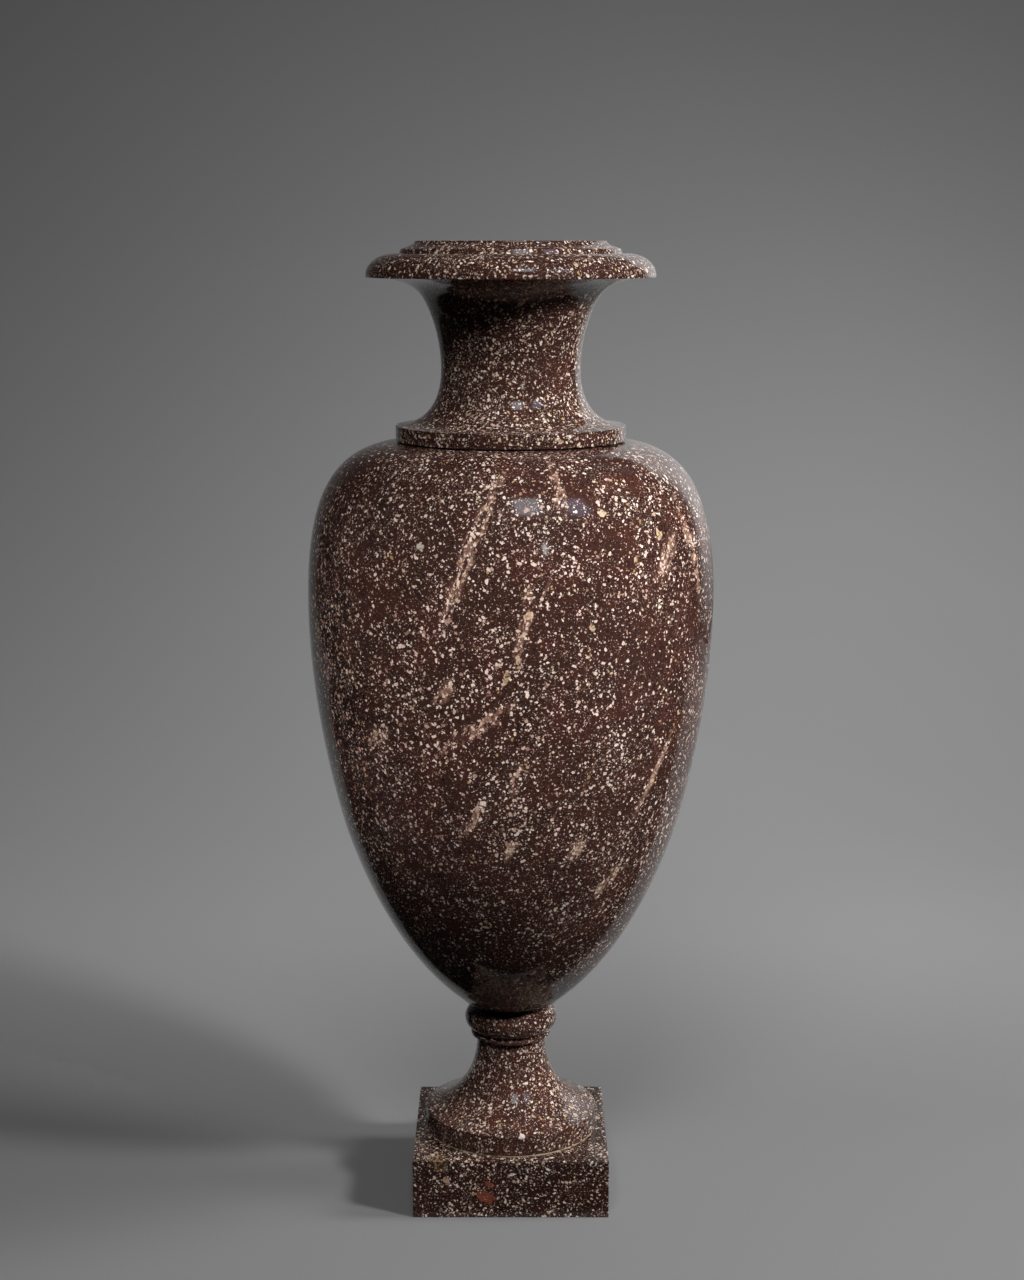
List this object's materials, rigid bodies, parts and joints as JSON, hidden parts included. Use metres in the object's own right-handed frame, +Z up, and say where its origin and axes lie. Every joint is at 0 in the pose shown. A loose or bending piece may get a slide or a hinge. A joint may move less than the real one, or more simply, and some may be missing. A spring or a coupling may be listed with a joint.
{
  "type": "stone vase",
  "caption": "Polished porphyry vase: hollow egg-shaped body on a turned foot and square plinth, with a concave neck, flared lip and open mouth.",
  "frame": {"origin": "on the ground, under the middle of the square plinth", "axes": "+Z up along the turning axis; X and Y square to the plinth's sides, -Y the side in the picture"},
  "size_m": [0.2668, 0.2668, 0.639],
  "materials": {
    "porphyry": "polished",
    "putty": "matt",
    "iron": "plain"
  },
  "bodies": {
    "root": {"plinth": "porphyry", "foot_bedding": "putty", "foot": "porphyry", "body_bedding": "putty", "body": "porphyry", "neck_bedding": "putty", "neck": "porphyry", "tie_rod": "iron", "lower_washer": "iron", "lower_nut": "iron", "upper_washer": "iron", "upper_nut": "iron"}
  },
  "joints": []
}
